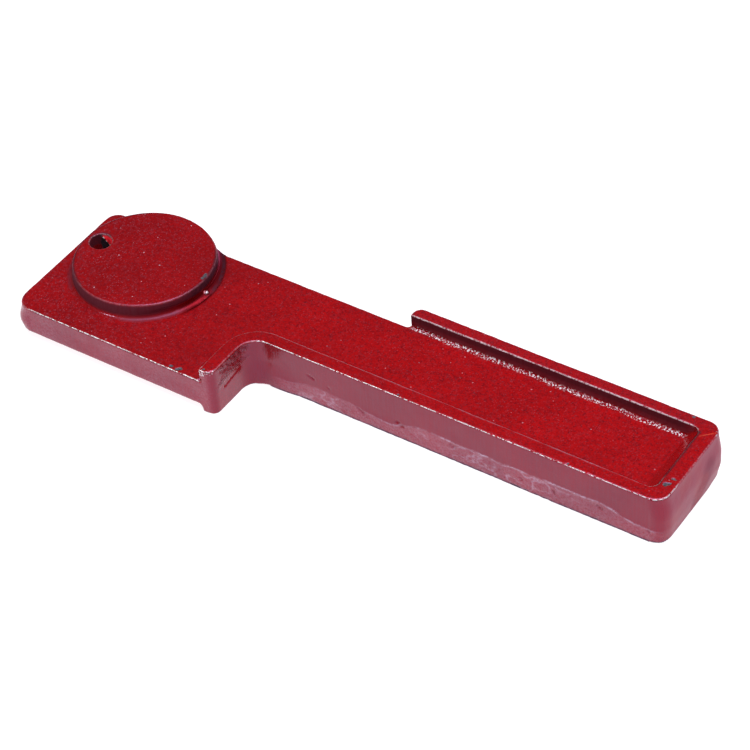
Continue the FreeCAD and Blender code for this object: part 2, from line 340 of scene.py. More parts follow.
class Casting(Skin):
    """The casting's skin. Each method adds one kind of detail: to push, how far each point moves along
    its normal, and to marks, the point attributes that the enamel reads."""

    def __init__(self):
        super().__init__("wrench_casting", SKIN_VOXEL)
        x, y, z = self.points.T
        self.reach = np.hypot(x, y)
        self.outside = np.maximum(
            rise(self.reach, SOCKET_REACH, SOCKET_REACH + 2), rise(z, COVER_TOP + 6, COVER_TOP + 7)
        )
        lip = near(np.hypot(x - HOLE_X, y - HOLE_Y), HOLE_RADIUS, 0.6, 1.6) * rise(z, TOP - 2.5, TOP - 1.5)
        self.relax(ROUNDING_PASSES, 0.5 * np.ones(len(self.points)))
        self.relax(LIP_PASSES, 0.5 * lip)
        widen_foot(self.points)
        end_corner = (HANDLE_END - 3, HANDLE_NEAR + 3, TOP)
        self.relax(END_CORNER_PASSES, 0.5 * spot(self.points, end_corner, 14))

        self.start = self.points.copy()
        self.x, self.y, self.z = self.start.T
        self.normal = self.normals()
        self.side = self.spread((np.abs(self.normal[:, 2]) < 0.5).astype(float), 2)
        self.edge = self.spread(rise(self.bulge(5), 0.03, 0.14), 1)
        self.depth = TOP - self.z
        self.from_hole = np.hypot(self.x - HOLE_X, self.y - HOLE_Y)
        self.hole_turn = np.degrees(np.arctan2(self.y - HOLE_Y, self.x - HOLE_X))
        self.boss_turn = np.degrees(np.arctan2(self.y, self.x))
        self.marks = {"edge": self.edge}

        self.push = WAVE_LONG_DEPTH * lattice_noise(self.start, WAVE_LONG, SEED)
        self.push += WAVE_SHORT_DEPTH * octaves(self.start, WAVE_SHORT, SEED + 10, 2)
        self.push -= EDGE_LOSS * self.edge * np.clip(octaves(self.start, EDGE_WAVE, SEED + 15, 2), 0, 1)
        self.push += mould_swell(self.start, self.normal, self.side)

    def parting_band(self):
        """Below the parting line the handle's sides step in a little and are coarse."""
        x, y, z, points = self.x, self.y, self.z, self.start
        along_y = self.spread((np.abs(self.normal[:, 1]) > 0.6).astype(float), 2)
        line = parting_height(x) + 0.5 * octaves(points, 7.0, SEED + 20, 3)
        long_side = self.side * along_y * rise(x, LONG_WALL, LONG_WALL + 14)
        sharp = rise(x, 125, 175)       # the line fades out towards the throat
        below = rise((line - z) * (0.2 + 0.8 * sharp), -0.25, 0.25) * long_side
        self.push -= below * (BAND_STEP - BAND_DEPTH * octaves(points, 2.2, SEED + 30, 3))
        flash_and_sheen = bell(z - line - 0.15, 0.45) * long_side
        flash_and_sheen = flash_and_sheen * np.clip(0.65 + 0.8 * octaves(points, 5.0, SEED + 33, 3), 0, 1) * (0.15 + 0.85 * sharp)
        self.push += FLASH_HEIGHT * flash_and_sheen
        drawn = points * np.array((0.55, 1, 1.3))
        wrinkles = bell(octaves(drawn, 3.6, SEED + 35, 2), 0.13) * below
        wrinkles = wrinkles * rise(octaves(points, 16.0, SEED + 37, 2), -0.1, 0.5)
        self.push -= WRINKLE_DEPTH * wrinkles

        # On the head's near side the coarse mark moves no points: it paints a pale sheen, takes off some wall
        # shade and adds bump.
        head_side = self.side * fall(x, HOOK_FACE - 4, HOOK_FACE) * fall(y, NEAR_EDGE + 7, NEAR_EDGE + 10)
        self.marks["coarse"] = below + head_side * (0.5 + 0.4 * octaves(points, 14.0, SEED + 90, 2))
        # A faint pale line, a painted edge highlight, runs along the near rim's inner edge.
        wander = 0.3 * lattice_noise(points, 12.0, SEED + 96)
        inner_edge_highlight = bell(y - HANDLE_NEAR - RIM_WIDTH + 0.2 + wander, 0.4) * rise(z, TOP - 1.5, TOP - 0.8)
        inner_edge_highlight = inner_edge_highlight * rise(x, HOOK_FACE - 2, HOOK_FACE + 6) * fall(x, WEB_END, WEB_END + 5)
        inner_edge_highlight = inner_edge_highlight * np.clip(0.28 + 0.3 * lattice_noise(points, 6.0, SEED + 97), 0, 1)
        self.marks["flash_and_sheen"] = flash_and_sheen + 0.5 * wrinkles + inner_edge_highlight

    def torn_hook(self):
        """The hook's open face is torn below its top edge, over a slanting seam. Past the throat the paint
        ran down in streaks."""
        x, y, z, points = self.x, self.y, self.z, self.start
        on_hook = self.side * near(x, HOOK_FACE, 1.5, 3.5)
        floor_height = 15.0 + 0.10 * (y + 45)
        ragged = 1.6 * octaves(points, 5.0, SEED + 45, 3)
        torn = on_hook * rise(z + ragged, floor_height - 0.5, floor_height + 0.8)
        torn = torn * rise(y + ragged, -47, -43) * fall(y + 2 * ragged, -27, -22)
        torn = torn * fall(z, TOP - 1.2, TOP - 0.4)
        pits = np.clip(octaves(points, 1.5, SEED + 50, 2) + 0.30, 0, 1)
        self.push -= TORN_DEPTH * torn * pits
        seam = stroke(points, SEAM_START, SEAM_END, SEAM_RADIUS)
        self.push -= SEAM_DEPTH * seam * on_hook * (0.7 + 0.5 * lattice_noise(points, 3.0, SEED + 55))

        runs = self.side * rise(z, TOP - 9, TOP - 3) * rise(x, 81, 84) * fall(x, 94, 99) * fall(y, -18, -16)
        streaks = np.clip(octaves(points * np.array((1, 1, 0.22)), 1.5, SEED + 60, 2), 0, 1)
        self.push -= RUN_DEPTH * runs * streaks
        self.marks["torn"] = torn + runs * streaks

    def rail_foot(self):
        """Where the far rail stands on the web the sand left a coarse, beaded corner."""
        x, y, z, points = self.x, self.y, self.z, self.start
        beads_and_sparkle = 0.85 * rise(x, RAIL_START, RAIL_START + 3) * fall(x, WEB_END + 0.5, WEB_END + 3.5)
        bead_line = RAIL_FOOT - 0.2 - 0.4 * rise(x, RAIL_START, 270)
        beads_and_sparkle = beads_and_sparkle * near(y, bead_line + 0.5 * lattice_noise(points, 9, SEED + 65), 0.4, 1.3)
        beads_and_sparkle = beads_and_sparkle * rise(z, PLATE_TOP - 0.8, PLATE_TOP - 0.3) * fall(z, PLATE_TOP + 0.8, PLATE_TOP + 1.5)
        self.push += RAIL_BEAD_HEIGHT * beads_and_sparkle * octaves(points, 1.3, SEED + 70, 2)
        self.rail_beads_and_sparkle = beads_and_sparkle

    def rim_tip(self):
        """The hook's rim starts with a cleft and a rough tip."""
        points = self.start
        self.tip = np.maximum(
            spot(points, (HOOK_FACE - RIM_WIDTH + 1.6, NEAR_EDGE, TOP - 1.2), 3.6),
            spot(points, (HOOK_FACE - 1.6, NEAR_EDGE + 1.2, TOP), 2.4),
        )
        self.push += TIP_ROUGHNESS * self.tip * octaves(points, 1.2, SEED + 75, 2)
        cleft = (HOOK_FACE - RIM_WIDTH - 0.2, NEAR_EDGE + 0.4, PLATE_TOP + 0.6)
        self.push -= CLEFT_DEPTH * spot(points, cleft, 1.8)

    def nicks(self):
        for (start_x, start_z), (end_x, end_z), size in NICKS:
            nick = stroke(self.start, (start_x, HANDLE_NEAR, start_z), (end_x, HANDLE_NEAR, end_z), size)
            self.push -= NICK_DEPTH * size * nick * (0.8 + 0.5 * lattice_noise(self.start, 1.1, SEED + 78))

    def pooled_enamel(self):
        """A bead of enamel sits in the corner under the boss. In the hanging hole the enamel pooled down to a
        slanting line with beads on it: the pooled enamel is painted a bright red as painted light, the beads
        white as painted glints, and the wall below that line black as painted shade."""
        z, depth, turn, points = self.z, self.depth, self.hole_turn, self.start
        self.push += BEAD_HEIGHT * spot(points, ENAMEL_BEAD, 1.5)

        in_hole = fall(self.from_hole, HOLE_RADIUS + 0.3, HOLE_RADIUS + 1.0)
        pool_depth = np.interp(turn, POOL_TURNS, POOL_DEPTHS) + 0.2 * lattice_noise(points, 2.0, SEED + 85)
        pooled = in_hole * fall(depth, pool_depth - 0.2, pool_depth + 0.3) * rise(depth, 0.4, 0.9)
        pooled = pooled * rise(turn, -60, -30) * fall(turn, 118, 132)
        self.push += POOL_HEIGHT * pooled * rise(depth, 0.6, 1.8)
        self.marks["pooled"] = self.spread(pooled * (z < TOP - 0.8), 1)

        glints = spot(points, ENAMEL_BEAD, 1.6)
        for degrees in HOLE_BEAD_TURNS:
            at = math.radians(degrees)
            height = TOP - float(np.interp(degrees, POOL_TURNS, POOL_DEPTHS))
            place = (HOLE_X + HOLE_RADIUS * math.cos(at), HOLE_Y + HOLE_RADIUS * math.sin(at), height)
            bead = spot(points, place, HOLE_BEAD_RADIUS)
            glints = np.maximum(glints, bead)
            self.push += HOLE_BEAD_HEIGHT * bead
        self.glints = glints
        # Painted highlights: the rail's foot beads and the hook's tip are painted white as sparkle, and the
        # enamel bead and the hole's beads as glints.
        beads_and_sparkle = np.clip(1.15 * self.rail_beads_and_sparkle + 0.8 * self.tip * self.side, 0, 0.87)
        self.marks["beads_and_sparkle"] = np.maximum(beads_and_sparkle, glints)

        # Painted shade: the hole's wall below the pooled line is painted black, where no light reaches.
        hole_shade = in_hole * rise(depth, pool_depth + 0.1, pool_depth + 0.5) * rise(depth, 1.9, 2.4)
        hole_shade = hole_shade * rise(turn, 20, 40) * fall(turn + 6 * lattice_noise(points, 3.0, SEED + 86), 126, 133)
        self.marks["hole_shade"] = hole_shade

    def chips(self):
        chips = np.zeros(len(self.start))
        ragged = 1 + 0.35 * lattice_noise(self.start, 0.9, SEED + 80)
        for centre, size in CHIPS:
            away = np.linalg.norm(self.start - np.array(centre), axis=1)
            chips = np.maximum(chips, fall(away, 0.75 * size * ragged, 1.15 * size * ragged))
        self.push -= CHIP_DEPTH * chips
        self.marks["chip"] = chips
        scratch = stroke(self.start, SCRATCH_START, SCRATCH_END, SCRATCH_RADIUS)
        scratch = scratch * rise(lattice_noise(self.start, 0.8, SEED + 88), -0.7, -0.2)
        self.push -= SCRATCH_DEPTH * scratch
        self.marks["scratch"] = scratch

    def wear_and_glint(self):
        """How much of each edge's enamel is worn and carries a painted highlight: the near edges most, the
        boss and the far rail less.
        """
        x, y, z = self.x, self.y, self.z
        near_head = near(y, NEAR_EDGE, 1.5, 3.0) * rise(z, PLATE_TOP - 3, PLATE_TOP - 2)
        near_head = 0.8 * near_head * rise(x, HEAD_END + 6, HEAD_END + 14)
        near_handle = near(y, HANDLE_NEAR, 1.5, 3.0) * rise(z, TOP - 3, TOP - 2)
        near_handle = near_handle * rise(x, HOOK_FACE, HOOK_FACE + 8)
        near_corner = spot(self.start, (HANDLE_END - 3, HANDLE_NEAR + 4, TOP), 12)
        on_rail = rise(x, RAIL_START - 1, RAIL_START + 2) * rise(y, RAIL_FOOT - 1, RAIL_FOOT)
        boss_rim = 0.1 * near(self.reach, BOSS_FOOT - 1.2, 1, 2)
        wear_and_glint = 0.15 + near_head + near_handle + near_corner + self.tip + 0.4 * on_rail - boss_rim
        self.marks["wear_and_glint"] = np.clip(wear_and_glint, 0, 1) * rise(z, PLATE_TOP - 3, PLATE_TOP - 2)

    def dark_places(self):
        """One mark holds painted shade on the walls of the boss and the far rail, and a little on the rail's
        top, the ends of the boss's foot and a patch on the handle's end: there the colour is darkened and the
        enamel made matt. Another holds painted dark lines: a painted shadow along the near bottom edge and
        round the boss's foot, and painted shade on the boss's right wall, the end rim's inner edge, the
        hanging hole's lip and the boss's rim at its sides. Foot marks the corner under the boss on the
        handle's side, painted a darker, metallic red as painted shade that dims its reflection, and blush the
        redder patches of the handle's end."""
        x, y, z, reach, side = self.x, self.y, self.z, self.reach, self.side
        above_plate = z - PLATE_TOP

        on_boss = fall(reach, 37, 38) * rise(above_plate, 1.0, 2.5)
        on_boss = on_boss * (1 - 0.9 * rise(x, 24, 32) * fall(above_plate, 3.0, 4.2))
        in_rail = rise(x, RAIL_START, RAIL_START + 1) * fall(x, WEB_END - 3, WEB_END + 9)
        in_rail = in_rail * rise(y, RAIL_FOOT - 4, RAIL_FOOT - 3) * fall(y, RAIL_FOOT + 1, RAIL_FOOT + 2)
        in_rail = in_rail * (0.55 * rise(above_plate, 0.5, 2.0) + 0.45 * rise(above_plate, 2.6, 4.6))
        rail_top = rise(x, RAIL_START, RAIL_START + 3) * rise(y, RAIL_FOOT + 1, RAIL_FOOT + 2.5)
        rail_top = rail_top * rise(z, TOP - 1, TOP - 0.2)
        foot_ends = near(reach, BOSS_FOOT + 0.9, 0.9, 1.7) * rise(above_plate, -1, -0.3)
        foot_ends = foot_ends * fall(above_plate, 1.6, 2.6) * np.maximum(rise(x, 6, 16), fall(x, -26, -18))
        end_patch = side * stroke(self.start, (HANDLE_END, 20, 15), (HANDLE_END, 9, 4), 7)
        # Painted shade: the boss's and the far rail's walls are darkened, and the rail's top, the foot's ends
        # and a patch on the handle's end a little.
        painted_shade = side * np.maximum(on_boss, in_rail)
        for part in (0.15 * rail_top, 0.5 * foot_ends, 0.45 * end_patch):
            painted_shade = np.maximum(painted_shade, part)
        self.marks["painted_shade"] = self.spread(painted_shade, 1)

        # Painted shadow and shade as dark lines: along the handle's near bottom edge where it meets the
        # floor, a ring round the boss's foot, the boss's right wall, the end rim's inner edge, the hanging
        # hole's far lip and the boss's rim at its sides.
        bottom_edge = rise(self.normal[:, 2], -0.97, -0.9) * fall(self.normal[:, 2], 0.3, 0.5)
        bottom_edge = bottom_edge * rise(x, LONG_WALL - 2, LONG_WALL + 4)
        bottom_edge = bottom_edge * fall(y, HANDLE_NEAR + 4, HANDLE_NEAR + 8) * fall(z, 1.0, 1.6)
        foot_ring = near(reach, BOSS_FOOT + 1.9, 0.6, 1.5) * rise(above_plate, -1, 0)
        foot_ring = foot_ring * rise(x, 22, 28) * rise(y, -2, 6) * fall(above_plate, 2, 3)
        dark_wall = side * on_boss * rise(x, 26, 32) * rise(y, -14, -4)
        end_edge = bell(x - HANDLE_END + END_RIM_WIDTH, 0.9) * rise(z, TOP - 2.5, TOP - 1.5)
        end_edge = end_edge * rise(y, HANDLE_NEAR + RIM_WIDTH, HANDLE_NEAR + RIM_WIDTH + 3)
        end_edge = end_edge * fall(y, RAIL_FOOT - 2, RAIL_FOOT)
        hole_lip = near(self.from_hole, HOLE_RADIUS + 0.2, 0.4, 1.0) * rise(self.hole_turn, 60, 90)
        hole_lip = hole_lip * rise(self.depth, -0.5, 0) * fall(self.depth, 0.8, 1.6)
        rim_line = near(reach, BOSS_TOP_RADIUS, 0.5, 1.2) * rise(z, TOP - 1.2, TOP - 0.6)
        rim_line = rim_line * np.maximum(fall(x, -22, -8), rise(x, 24, 30) * rise(y, -18, -8))
        painted_dark_lines = bottom_edge
        for part in (0.9 * foot_ring, 0.75 * dark_wall, 0.7 * end_edge, 0.8 * hole_lip, 0.55 * rim_line):
            painted_dark_lines = np.maximum(painted_dark_lines, part)
        self.marks["painted_dark_lines"] = painted_dark_lines

        # Painted shade: the corner under the boss on the handle's side, made a darker, metallic red that dims
        # its reflection
        foot = rise(reach, BOSS_FOOT - 1.2, BOSS_FOOT - 0.4) * fall(reach, BOSS_FOOT + 2.8, BOSS_FOOT + 3.8)
        foot = foot * rise(above_plate, -0.8, -0.2) * fall(above_plate, 2.6, 3.6)
        foot = foot * rise(self.boss_turn, -34, -14) * fall(self.boss_turn, 100, 120)
        self.marks["foot"] = foot * (1 - self.glints)

        patches = 0.85 * rise(octaves(self.start, 11.0, SEED + 95, 2), -0.1, 0.5)
        blush = side * rise(x, HANDLE_END - 6, HANDLE_END - 2)
        self.marks["blush"] = blush * np.maximum(patches, fall(y, HANDLE_NEAR + 3, HANDLE_NEAR + 8))

    def piece(self):
        """Move the points, write the marks and make the object."""
        self.points = self.start + self.normal * (self.push * self.outside)[:, None]
        self.points[:, 2] = np.maximum(self.points[:, 2], 0)
        self.write_points()
        for name, values in self.marks.items():
            self.attribute(name, values)
        self.mesh.polygons.foreach_set("use_smooth", np.ones(len(self.mesh.polygons), bool))
        piece = bpy.data.objects.new("enamelled_casting", self.mesh)
        bpy.context.scene.collection.objects.link(piece)
        return piece


def cast_skin():
    casting = Casting()
    casting.parting_band()
    casting.torn_hook()
    casting.rail_foot()
    casting.rim_tip()
    casting.nicks()
    casting.pooled_enamel()
    casting.chips()
    casting.wear_and_glint()
    casting.dark_places()
    return casting.piece()


# ---------------------------------------------------------------- materials

class Nodes:
    """Short calls for building a node material."""

    def __init__(self, name):
        self.material = bpy.data.materials.new(name)
        self.material.use_nodes = True
        self.tree = self.material.node_tree
        self.tree.nodes.clear()
        self.output = self.tree.nodes.new("ShaderNodeOutputMaterial")
        self.shader = self.tree.nodes.new("ShaderNodeBsdfPrincipled")
        self.tree.links.new(self.shader.outputs[0], self.output.inputs["Surface"])
        self.coordinates = self.tree.nodes.new("ShaderNodeTexCoord")
        self.place = self.coordinates.outputs["Object"]

    def set(self, socket, value):
        """Set a shader socket to a value, or link a node's output to it."""
        self.join(value, self.shader.inputs[socket])

    def join(self, value, socket):
        if isinstance(value, bpy.types.NodeSocket):
            self.tree.links.new(value, socket)
        elif isinstance(value, tuple):
            socket.default_value = (*value, 1.0) if len(socket.default_value) == 4 else value
        else:
            socket.default_value = value

    def noise(self, cell, detail=2.0, rough=0.5, place=None):
        """Noise from 0 to 1 whose cells are so many millimetres wide."""
        node = self.tree.nodes.new("ShaderNodeTexNoise")
        node.inputs["Scale"].default_value = 1 / (cell * MM)
        node.inputs["Detail"].default_value = detail
        node.inputs["Roughness"].default_value = rough
        self.tree.links.new(place or self.place, node.inputs["Vector"])
        return node.outputs[0]

    def specks(self, cell, radius, share):
        """1 on round specks of a radius, about one in each cell of a size, kept in a share of the cells."""
        node = self.tree.nodes.new("ShaderNodeTexVoronoi")
        node.inputs["Scale"].default_value = 1 / (cell * MM)
        self.tree.links.new(self.place, node.inputs["Vector"])
        chance = self.tree.nodes.new("ShaderNodeSeparateColor")
        self.tree.links.new(node.outputs["Color"], chance.inputs[0])
        size = self.ramp(chance.outputs[1], 0, 1, 0.5 * radius / cell, radius / cell)
        inside = self.math("LESS_THAN", node.outputs["Distance"], size)
        return self.times(inside, self.math("LESS_THAN", chance.outputs[0], share))

    def stretched(self, x, y, z):
        """Place with each axis scaled, so that a pattern is longer where the scale is small."""
        node = self.tree.nodes.new("ShaderNodeVectorMath")
        node.operation = "MULTIPLY"
        self.tree.links.new(self.place, node.inputs[0])
        node.inputs[1].default_value = (x, y, z)
        return node.outputs[0]

    def part(self, vector, axis):
        """One axis of a vector."""
        split = self.tree.nodes.new("ShaderNodeSeparateXYZ")
        self.tree.links.new(vector, split.inputs[0])
        return split.outputs["XYZ".index(axis)]

    def facing(self, axis):
        """The surface normal's part along an axis, from -1 to 1."""
        return self.part(self.coordinates.outputs["Normal"], axis)

    def ramp(self, value, start, end, low=0.0, high=1.0):
        """Straight change from low to high as value goes from start to end."""
        node = self.tree.nodes.new("ShaderNodeMapRange")
        for name, setting in zip(
            ("Value", "From Min", "From Max", "To Min", "To Max"), (value, start, end, low, high)
        ):
            self.join(setting, node.inputs[name])
        return node.outputs[0]

    def ramp_along(self, axis, start, end, low=0.0, high=1.0):
        """Straight change from low to high between two places on an axis, in millimetres."""
        return self.ramp(self.part(self.place, axis), start * MM, end * MM, low, high)

    def math(self, operation, first, second=0.0):
        node = self.tree.nodes.new("ShaderNodeMath")
        node.operation = operation
        self.join(first, node.inputs[0])
        self.join(second, node.inputs[1])
        return node.outputs[0]

    def chain(self, operation, first, *others):
        for other in others:
            first = self.math(operation, first, other)
        return first

    def times(self, *values):
        return self.chain("MULTIPLY", *values)

    def plus(self, *values):
        return self.chain("ADD", *values)

    def most(self, *values):
        return self.chain("MAXIMUM", *values)

    def away(self, value, target):
        """How far a value is from a target."""
        return self.math("ABSOLUTE", self.math("SUBTRACT", value, target))

    def mix(self, share, first, second):
        node = self.tree.nodes.new("ShaderNodeMix")
        node.data_type = "RGBA"
        self.join(share, node.inputs["Factor"])
        self.join(first, node.inputs[6])
        self.join(second, node.inputs[7])
        return node.outputs[2]

    def read(self, name):
        """A point attribute of the mesh."""
        node = self.tree.nodes.new("ShaderNodeAttribute")
        node.attribute_name = name
        return node.outputs["Fac"]

    def bump(self, height, depth, under=None):
        """Normal of a height pattern whose full range is so many millimetres deep."""
        node = self.tree.nodes.new("ShaderNodeBump")
        node.inputs["Distance"].default_value = depth * MM
        node.inputs["Strength"].default_value = 1.0
        self.tree.links.new(height, node.inputs["Height"])
        if under is not None:
            self.tree.links.new(under, node.inputs["Normal"])
        return node.outputs[0]


# Colours of the enamel and of what is on it and under it, and of painted shade, light, highlights and
# reflections
RED, RED_LIGHT = (0.27, 0.0032, 0.0036), (0.35, 0.0038, 0.0044)
# Painted shade for the head's top and painted light for the handle's top
RED_HEAD_SHADE, RED_HANDLE_LIT = (0.14, 0.004, 0.006), (0.46, 0.003, 0.004)
RED_GRAIN = (0.13, 0.003, 0.006)
# Painted shade for walls
RED_WALL_SHADE = (0.16, 0.003, 0.006)
# Painted shade for the walls and places so marked
RED_PAINTED_SHADE = (0.07, 0.003, 0.005)
RED_TORN = (0.11, 0.004, 0.006)
RED_BLUSH = (0.30, 0.004, 0.005)
# Painted light for the pooled enamel in the hole
RED_POOLED_LIT = (0.80, 0.006, 0.010)
# Painted shade, dark and metallic, for the corner under the boss
RED_FOOT_SHADE = (0.21, 0.003, 0.005)
# Painted reflection for the handle's end wall
END_PAINTED_REFLECTION = (0.60, 0.02, 0.18)
SCRATCHED = (0.70, 0.10, 0.05)
BLOOM, DULL_SPECK, BRIGHT_SPECK = (0.20, 0.035, 0.05), (0.26, 0.08, 0.11), (0.62, 0.46, 0.54)
# Pale haze, partly painted sheen of reflected light
HAZE_AND_SHEEN = (0.62, 0.46, 0.60)
# Painted highlight white for sparkles and glints
GLINT = (1.0, 0.97, 1.0)
IRON_DARK, IRON_LIGHT = (0.035, 0.037, 0.040), (0.11, 0.11, 0.115)
# Painted shade for the dark lines, darker and greyer low down
PAINTED_SHADE_LOW, PAINTED_SHADE_HIGH = (0.055, 0.045, 0.06), (0.075, 0.018, 0.028)
# Painted shade inside the hanging hole
HOLE_SHADE = (0.007, 0.006, 0.007)
# Bare metal that is also a painted highlight
BARE_EDGE_AND_GLINT = (0.86, 0.85, 0.88)

# The part of the normal along +Z on the worn, painted highlight line of an edge, and on the painted shade
# line under it
CREST_UP, UNDER_CREST_UP = 0.64, 0.26


def top_colour(n, flat, grain, broad):
    """Red with painted shade falling off towards the head and painted light on the handle's top, with mottle,
    bloom and specks of dust.
    """
    colour = n.mix(n.ramp(broad, 0.35, 0.65), RED, RED_LIGHT)
    # Painted light falloff, on the tops only: darker towards the head and lighter along the handle
    colour = n.mix(n.times(n.ramp_along("X", 20, 110, 0.22, 0.0), flat), colour, RED_HEAD_SHADE)
    colour = n.mix(n.times(n.ramp_along("X", 50, 140, 0.0, 0.30), flat), colour, RED_HANDLE_LIT)
    mottle = n.plus(n.ramp(grain, 0.48, 0.64, 0.0, 0.70), n.ramp(n.noise(2.2, 3, 0.6), 0.45, 0.65, 0.0, 0.25))
    colour = n.mix(n.times(mottle, flat), colour, RED_GRAIN)
    dust = n.times(n.most(n.ramp_along("X", -20, 50, 1.0, 0.5), n.ramp(n.read("painted_shade"), 0.2, 0.4)), flat)
    bloom = n.ramp(n.noise(1.5, 3, 0.7), 0.50, 0.66, 0.0, 0.38)
    dull = n.times(n.specks(1.0, 0.38, 0.60), n.ramp(n.noise(5, 3), 0.4, 0.6, 0.18, 0.42))
    bright = n.times(n.specks(4.0, 0.40, 0.45), 0.6)
    for share, dusty in ((bloom, BLOOM), (dull, DULL_SPECK), (bright, BRIGHT_SPECK)):
        colour = n.mix(n.times(share, dust), colour, dusty)
    return colour


def enamel():
    """Gloss red enamel over sand-cast iron, worn through along its edges and at its chips, with painted
    shade, highlights and reflections in its colour.
    """
    n = Nodes("red_enamel")
    up = n.facing("Z")
    flat = n.ramp(up, 0.55, 0.85)
    wall = n.ramp(n.math("ABSOLUTE", up), 0.45, 0.2)
    broad = n.noise(26, 3)
    grain = n.noise(0.8, 3, 0.65)
    colour = top_colour(n, flat, grain, broad)

    # Walls: painted shade darkens them, less where the sand left them coarse and varying with upright
    # streaks; a pale haze where the sand left them coarse is partly a painted sheen
    coarse = n.read("coarse")
    streaks = n.noise(1.1, 3, 0.7, n.stretched(1, 1, 0.05))
    shade = n.plus(n.ramp(coarse, 0, 1, 0.50, 0.20), n.ramp(streaks, 0.35, 0.65, -0.06, 0.08))
    colour = n.mix(n.times(wall, shade), colour, RED_WALL_SHADE)
    # Painted shade darkens the walls of the boss and the far rail and the other places so marked.
    colour = n.mix(n.times(n.read("painted_shade"), 0.8), colour, RED_PAINTED_SHADE)
    handle_side = n.ramp(n.facing("Y"), -0.5, -0.9)
    # Painted sheen: the pale lavender haze stands partly for reflected light, on coarse walls, the head's
    # near side, the handle's near-side streaks, the parting line's flash and wrinkles and the rim's inner
    # edge.
    haze_and_sheen = n.plus(
        n.times(coarse, n.ramp(n.noise(1.0, 4, 0.7), 0.35, 0.65, 0.03, 0.19)),
        n.times(handle_side, n.ramp(streaks, 0.42, 0.62, 0.0, 0.015)),
        n.times(n.read("flash_and_sheen"), n.ramp(n.noise(0.9, 3, 0.6), 0.36, 0.52, 0.15, 0.8)),
    )
    colour = n.mix(haze_and_sheen, colour, HAZE_AND_SHEEN)
    torn = n.read("torn")
    ripped = n.noise(0.8, 3, 0.6)
    colour = n.mix(n.times(torn, n.ramp(ripped, 0.44, 0.60, 0.0, 0.75)), colour, RED_TORN)
    # Painted reflection: the handle's end wall gets a magenta tint, like the floor seen in it at a slant.
    end_wall = n.times(n.ramp(n.facing("X"), 0.6, 0.95), n.ramp_along("X", WEB_END - 3, WEB_END + 3))
    colour = n.mix(n.times(end_wall, 0.09), colour, END_PAINTED_REFLECTION)
    colour = n.mix(n.times(n.read("blush"), 0.7), colour, RED_BLUSH)
    colour = n.mix(n.times(n.read("scratch"), 0.6), colour, SCRATCHED)
    # Painted sparkle: white on the rail's foot beads and the hook's tip.
    beads_and_sparkle = n.times(n.read("beads_and_sparkle"), n.ramp(n.noise(0.9, 2, 0.6), 0.54, 0.57))
    colour = n.mix(beads_and_sparkle, colour, GLINT)

    # The enamel is gone along a thin, broken line where an edge turns from the top to the side, and the pale
    # bare metal there is also a painted highlight.
    # Under that line, on edges facing down and where the mesh is marked with painted dark lines, the dark
    # colour is painted shade, under the line partly worn iron.
    wear_and_glint = n.read("wear_and_glint")
    convex = n.ramp(n.read("edge"), 0.15, 0.35)
    crest = n.ramp(n.away(up, CREST_UP), 0.17, 0.33, 1.0, 0.0)
    worn_and_glint = n.times(crest, convex, n.ramp(n.noise(1.1, 3, 0.75), 0.43, 0.53), wear_and_glint)
    under_crest = n.ramp(n.away(up, UNDER_CREST_UP), 0.14, 0.28, 1.0, 0.0)
    painted_dark = n.most(n.times(under_crest, wear_and_glint), n.ramp(up, -0.15, -0.35))
    painted_dark = n.times(painted_dark, convex, n.ramp(n.noise(1.9, 3, 0.7), 0.42, 0.54, 0.0, 0.95))
    # Painted shade: the marked dark lines, broken by noise, dark and metallic so that they reflect little.
    painted_dark_broken = n.times(n.read("painted_dark_lines"), n.ramp(n.noise(2.5, 3, 0.7), 0.38, 0.50, 0.4, 1.0))
    painted_dark = n.most(painted_dark, painted_dark_broken)
    chip = n.ramp(n.read("chip"), 0.35, 0.55)
    colour = n.mix(chip, colour, n.mix(n.ramp(grain, 0.40, 0.62), IRON_DARK, IRON_LIGHT))
    # Painted shade: the corner under the boss is a darker, metallic red that dims its reflection.
    foot = n.times(n.read("foot"), 0.8)
    colour = n.mix(foot, colour, RED_FOOT_SHADE)
    colour = n.mix(painted_dark, colour, n.mix(n.ramp_along("Z", 10, 14), PAINTED_SHADE_LOW, PAINTED_SHADE_HIGH))
    # Painted light: the pooled enamel in the hole is a bright red, as if lit.
    colour = n.mix(n.times(n.read("pooled"), 0.9), colour, RED_POOLED_LIT)
    # Painted shade: black deep in the hanging hole.
    hole_shade = n.read("hole_shade")
    colour = n.mix(hole_shade, colour, HOLE_SHADE)
    # Painted glints: white, partly metallic, on the enamel bead and the hole's beads.
    glint = n.ramp(n.read("beads_and_sparkle"), 0.88, 0.95)
    colour = n.mix(glint, colour, GLINT)
    n.set("Base Color", n.mix(worn_and_glint, colour, BARE_EDGE_AND_GLINT))
    n.set("Metallic", n.most(n.times(worn_and_glint, 0.4), n.times(painted_dark, 0.9), foot, n.times(glint, 0.7)))

    whole_edge = n.times(n.read("edge"), n.math("SUBTRACT", 1.0, wear_and_glint))
    matt = n.most(n.read("painted_shade"), n.times(whole_edge, 0.8), painted_dark_broken, n.times(end_wall, 0.7), hole_shade)
    gloss = n.ramp(n.most(chip, worn_and_glint, haze_and_sheen), 0, 1, 0.16, 0.34)
    n.set("Roughness", n.plus(gloss, n.times(matt, 0.34), n.times(n.read("painted_shade"), 0.30)))
    n.set("IOR", 1.5)
    n.set("Specular IOR Level", 0.60)
    n.set("Specular Tint", (0.95, 0.57, 0.95))

